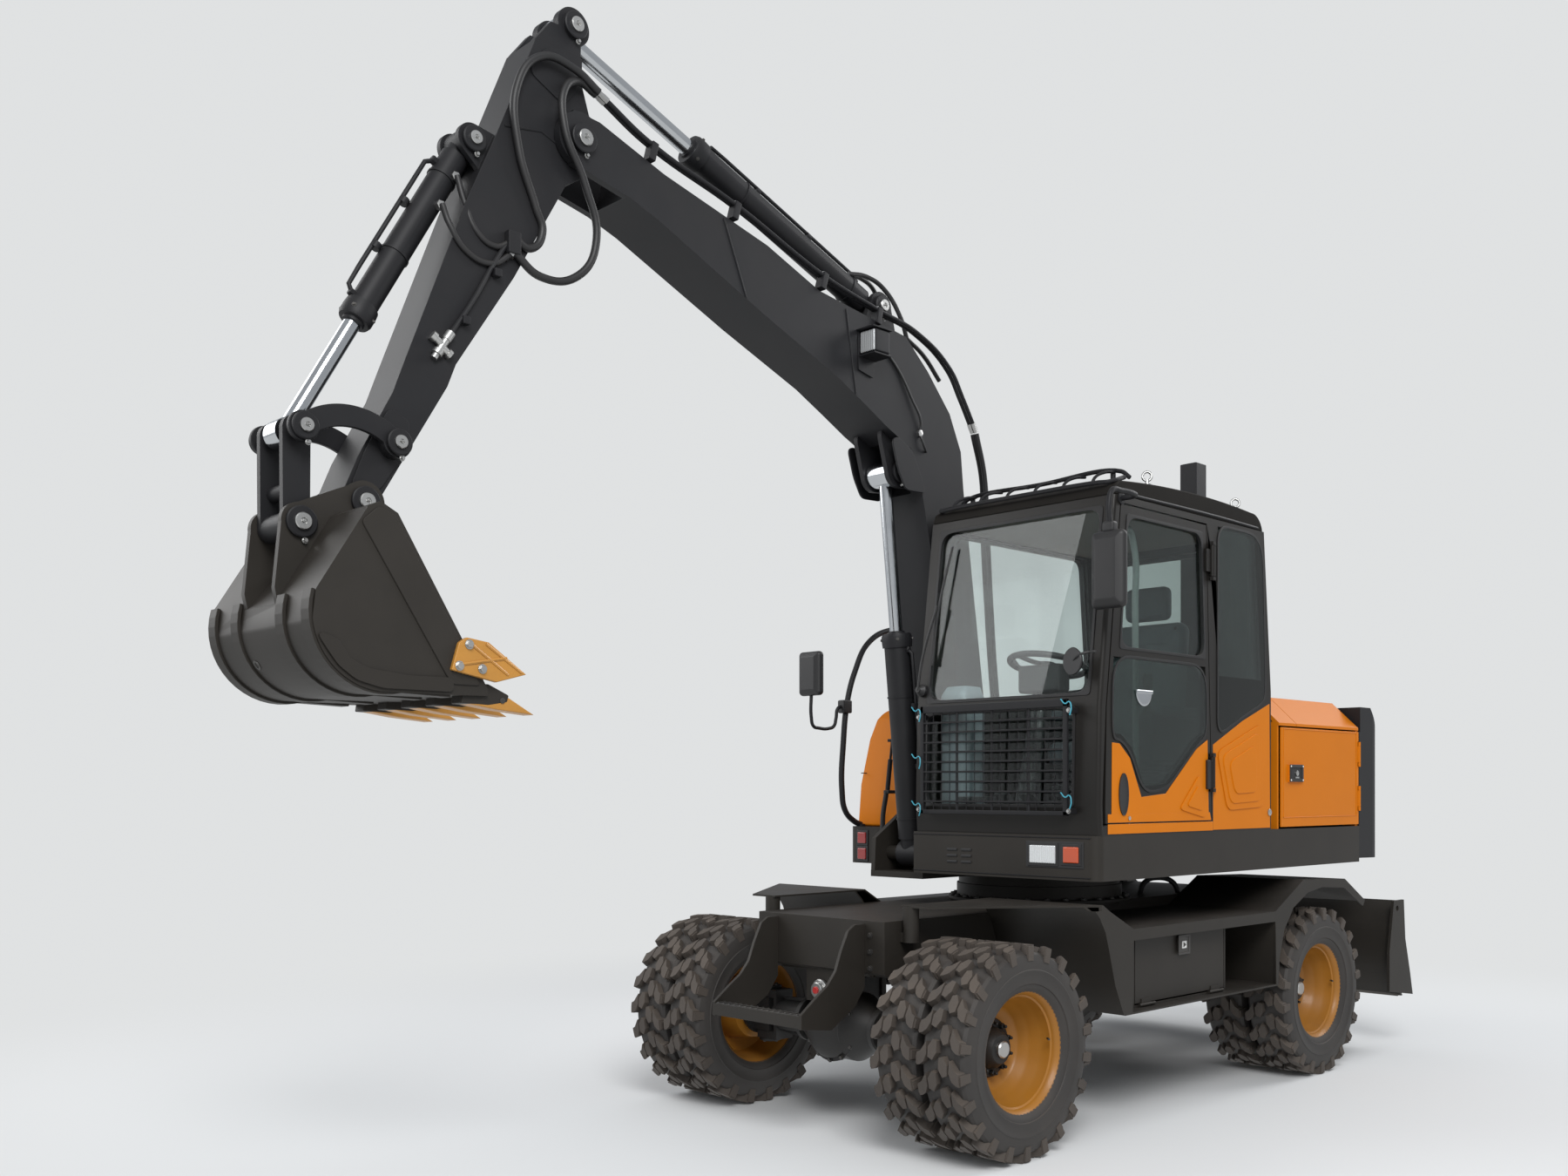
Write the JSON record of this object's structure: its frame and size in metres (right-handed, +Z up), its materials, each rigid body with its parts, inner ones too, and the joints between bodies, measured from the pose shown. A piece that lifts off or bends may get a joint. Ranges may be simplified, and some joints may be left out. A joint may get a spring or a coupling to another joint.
{
  "type": "wheeled excavator",
  "caption": "Wheeled excavator on twin-tyred axles: black frame and digging arm, orange cab door and side panels, bar-guarded windshield, rear dozer blade.",
  "frame": {"origin": "on the ground under the slewing axis", "axes": "+Z up, -Y is the machine's front (the digging arm points that way), +X is its left (cab door side)"},
  "size_m": [2.156, 6.185, 4.4909],
  "materials": {
    "black_paint": "semi-gloss charcoal black machine paint, dusty on level faces",
    "axle_paint": "satin dark grey paint on cast housings, oily and dusty",
    "orange_paint": "glossy orange-yellow panel paint",
    "rim_paint": "satin golden-orange rim paint with road dust",
    "tyre": "dark worn rubber, brownish dust in the tread",
    "rod_chrome": "bright hard-chromed piston rod",
    "tinted_glass": "dark green tinted safety glass",
    "tooth_paint": "gold paint worn to steel at the tips",
    "engine_cast": "painted cast iron",
    "seat_fabric": "black woven seat cloth",
    "dark_plastic": "grained dark plastic"
  },
  "bodies": {
    "undercarriage": {"chassis_frame": "black_paint", "front_step": "black_paint", "fender_step_left": "black_paint", "fender_step_right": "black_paint", "front_axle": "axle_paint", "rear_axle": "axle_paint", "transmission": "axle_paint"},
    "knuckle_left": {"knuckle_left": "axle_paint"},
    "knuckle_right": {"knuckle_right": "axle_paint"},
    "tie_rod": {"tie_rod": "axle_paint"},
    "wheel_front_left": {"tyres_front_left": "tyre", "rims_front_left": "rim_paint"},
    "wheel_front_right": {"tyres_front_right": "tyre", "rims_front_right": "rim_paint"},
    "wheel_rear_left": {"tyres_rear_left": "tyre", "rims_rear_left": "rim_paint"},
    "wheel_rear_right": {"tyres_rear_right": "tyre", "rims_rear_right": "rim_paint"},
    "toolbox_door_left": {"toolbox_door_left": "black_paint"},
    "toolbox_door_right": {"toolbox_door_right": "black_paint"},
    "blade": {"dozer_blade": "black_paint"},
    "blade_barrels": {"blade_cylinder_barrels": "black_paint"},
    "blade_rods": {"blade_cylinder_rods": "rod_chrome"},
    "upper": {"upper_frame": "black_paint", "counterweight": "black_paint", "engine_block": "engine_cast", "engine_bulkhead": "orange_paint", "right_box": "orange_paint", "cab_frame": "black_paint", "cab_roof": "black_paint", "cab_side_panel": "orange_paint", "cab_glass": "tinted_glass", "operator_seat": "seat_fabric", "steering_column": "dark_plastic", "front_guard": "black_paint", "mirrors": "black_paint", "exhaust_stack": "black_paint"},
    "engine_hood": {"engine_hood": "orange_paint"},
    "service_door_left": {"service_door_left": "orange_paint"},
    "service_door_right": {"service_door_right": "orange_paint"},
    "cab_door": {"cab_door": "black_paint", "cab_door_panel": "orange_paint", "cab_door_glass": "tinted_glass"},
    "boom": {"boom": "black_paint"},
    "boom_barrel": {"boom_cylinder_barrel": "black_paint"},
    "boom_rod": {"boom_cylinder_rod": "rod_chrome"},
    "stick": {"stick": "black_paint"},
    "arm_barrel": {"arm_cylinder_barrel": "black_paint"},
    "arm_rod": {"arm_cylinder_rod": "rod_chrome"},
    "bucket_barrel": {"bucket_cylinder_barrel": "black_paint"},
    "bucket_rod": {"bucket_cylinder_rod": "rod_chrome"},
    "rockers": {"rockers": "black_paint"},
    "bucket_link": {"bucket_link": "black_paint"},
    "bucket": {"bucket": "black_paint", "bucket_teeth": "tooth_paint"}
  },
  "joints": [
    {"name": "slew", "type": "hinge", "parent": "undercarriage", "child": "upper", "pos_m": [0, 0, 1], "axis": [0, 0, 1], "continuous": true},
    {"name": "steer_left", "type": "hinge", "parent": "undercarriage", "child": "knuckle_left", "pos_m": [0.5, -1.408, 0.43], "axis": [0, 0, 1], "range_deg": [-25, 25]},
    {"name": "wheel_front_left_spin", "type": "hinge", "parent": "knuckle_left", "child": "wheel_front_left", "pos_m": [0.7795, -1.408, 0.43], "axis": [1, 0, 0], "continuous": true},
    {"name": "wheel_rear_left_spin", "type": "hinge", "parent": "undercarriage", "child": "wheel_rear_left", "pos_m": [0.7795, 1.088, 0.43], "axis": [1, 0, 0], "continuous": true},
    {"name": "steer_right", "type": "hinge", "parent": "undercarriage", "child": "knuckle_right", "pos_m": [-0.5, -1.408, 0.43], "axis": [0, 0, 1], "range_deg": [-25, 25]},
    {"name": "wheel_front_right_spin", "type": "hinge", "parent": "knuckle_right", "child": "wheel_front_right", "pos_m": [-0.7795, -1.408, 0.43], "axis": [1, 0, 0], "continuous": true},
    {"name": "wheel_rear_right_spin", "type": "hinge", "parent": "undercarriage", "child": "wheel_rear_right", "pos_m": [-0.7795, 1.088, 0.43], "axis": [1, 0, 0], "continuous": true},
    {"name": "tie_rod_pivot", "type": "hinge", "parent": "knuckle_left", "child": "tie_rod", "pos_m": [0.5, -1.188, 0.325], "axis": [0, 0, 1], "range_deg": [-25, 25]},
    {"name": "toolbox_door_left_hinge", "type": "hinge", "parent": "undercarriage", "child": "toolbox_door_left", "pos_m": [0.943, 0, 0.519], "axis": [0, 1, 0], "range_deg": [0, 90]},
    {"name": "toolbox_door_right_hinge", "type": "hinge", "parent": "undercarriage", "child": "toolbox_door_right", "pos_m": [-0.943, 0, 0.519], "axis": [0, -1, 0], "range_deg": [0, 90]},
    {"name": "blade_lift", "type": "hinge", "parent": "undercarriage", "child": "blade", "pos_m": [0, 1.4, 0.585], "axis": [-1, 0, 0], "range_deg": [-5, 22]},
    {"name": "blade_cylinder_pivot", "type": "hinge", "parent": "undercarriage", "child": "blade_barrels", "pos_m": [0, 1.5, 0.842], "axis": [-1, 0, 0], "range_deg": [-5.1, 20.5]},
    {"name": "blade_cylinder_slide", "type": "slide", "parent": "blade_barrels", "child": "blade_rods", "axis": [0, 0.9254, -0.3789], "range_m": [-0.0256, 0.1057]},
    {"name": "boom_lift", "type": "hinge", "parent": "upper", "child": "boom", "pos_m": [-0.25, -0.33, 1.4], "axis": [-1, 0, 0], "range_deg": [-80, 10]},
    {"name": "boom_cylinder_pivot", "type": "hinge", "parent": "upper", "child": "boom_barrel", "pos_m": [-0.25, -0.69, 1.16], "axis": [-1, 0, 0], "range_deg": [-86, 12]},
    {"name": "boom_cylinder_slide", "type": "slide", "parent": "boom_barrel", "child": "boom_rod", "axis": [0, -0.1107, 0.9939], "range_m": [-0.5635, 0.0748]},
    {"name": "stick_crowd", "type": "hinge", "parent": "boom", "child": "stick", "pos_m": [-0.25, -2.742, 3.968], "axis": [1, 0, 0], "range_deg": [-75, 38]},
    {"name": "arm_cylinder_pivot", "type": "hinge", "parent": "boom", "child": "arm_barrel", "pos_m": [-0.25, -1, 3.76], "axis": [-1, 0, 0], "range_deg": [-2, 2]},
    {"name": "arm_cylinder_slide", "type": "slide", "parent": "arm_barrel", "child": "arm_rod", "axis": [0, -0.9356, 0.3531], "range_m": [-0.4893, 0.2504]},
    {"name": "bucket_curl", "type": "hinge", "parent": "stick", "child": "bucket", "pos_m": [-0.25, -3.623, 2.452], "axis": [1, 0, 0], "range_deg": [-105, 55]},
    {"name": "rocker_pivot", "type": "hinge", "parent": "stick", "child": "rockers", "pos_m": [-0.25, -3.515, 2.667], "axis": [1, 0, 0], "range_deg": [-80, 45]},
    {"name": "link_pivot", "type": "hinge", "parent": "rockers", "child": "bucket_link", "pos_m": [-0.25, -3.848, 2.666], "axis": [1, 0, 0], "range_deg": [-30, 52]},
    {"name": "bucket_cylinder_pivot", "type": "hinge", "parent": "stick", "child": "bucket_barrel", "pos_m": [-0.25, -3.177, 3.848], "axis": [-1, 0, 0], "range_deg": [-5, 5]},
    {"name": "bucket_cylinder_slide", "type": "slide", "parent": "bucket_barrel", "child": "bucket_rod", "axis": [0, -0.4937, -0.8696], "range_m": [-0.3715, 0.197]},
    {"name": "cab_door_hinge", "type": "hinge", "parent": "upper", "child": "cab_door", "pos_m": [0.98, 0.036, 2], "axis": [0, 0, 1], "range_deg": [0, 170]},
    {"name": "service_door_left_hinge", "type": "hinge", "parent": "upper", "child": "service_door_left", "pos_m": [0.97, 1.592, 1.5], "axis": [0, 0, 1], "range_deg": [0, 100]},
    {"name": "service_door_right_hinge", "type": "hinge", "parent": "upper", "child": "service_door_right", "pos_m": [-0.97, 1.592, 1.5], "axis": [0, 0, -1], "range_deg": [0, 100]},
    {"name": "engine_hood_hinge", "type": "hinge", "parent": "upper", "child": "engine_hood", "pos_m": [0, 0.883, 1.958], "axis": [1, 0, 0], "range_deg": [0, 55]}
  ],
  "couplings": [
    {"joint": "steer_right", "follows": "steer_left", "ratio": 1},
    {"joint": "tie_rod_pivot", "follows": "steer_left", "ratio": -1},
    {"joint": "blade_cylinder_pivot", "follows": "blade_lift", "ratio": 0.905},
    {"joint": "blade_cylinder_slide", "follows": "blade_lift", "m_per_rad": 0.27},
    {"joint": "boom_cylinder_pivot", "follows": "boom_lift", "ratio": 1.06},
    {"joint": "boom_cylinder_slide", "follows": "boom_lift", "m_per_rad": 0.4},
    {"joint": "arm_cylinder_pivot", "follows": "stick_crowd", "ratio": -0.01},
    {"joint": "arm_cylinder_slide", "follows": "stick_crowd", "m_per_rad": 0.37},
    {"joint": "rocker_pivot", "follows": "bucket_curl", "ratio": 0.7},
    {"joint": "link_pivot", "follows": "bucket_curl", "ratio": -0.45},
    {"joint": "bucket_cylinder_pivot", "follows": "bucket_curl", "ratio": -0.04},
    {"joint": "bucket_cylinder_slide", "follows": "bucket_curl", "m_per_rad": 0.2}
  ]
}
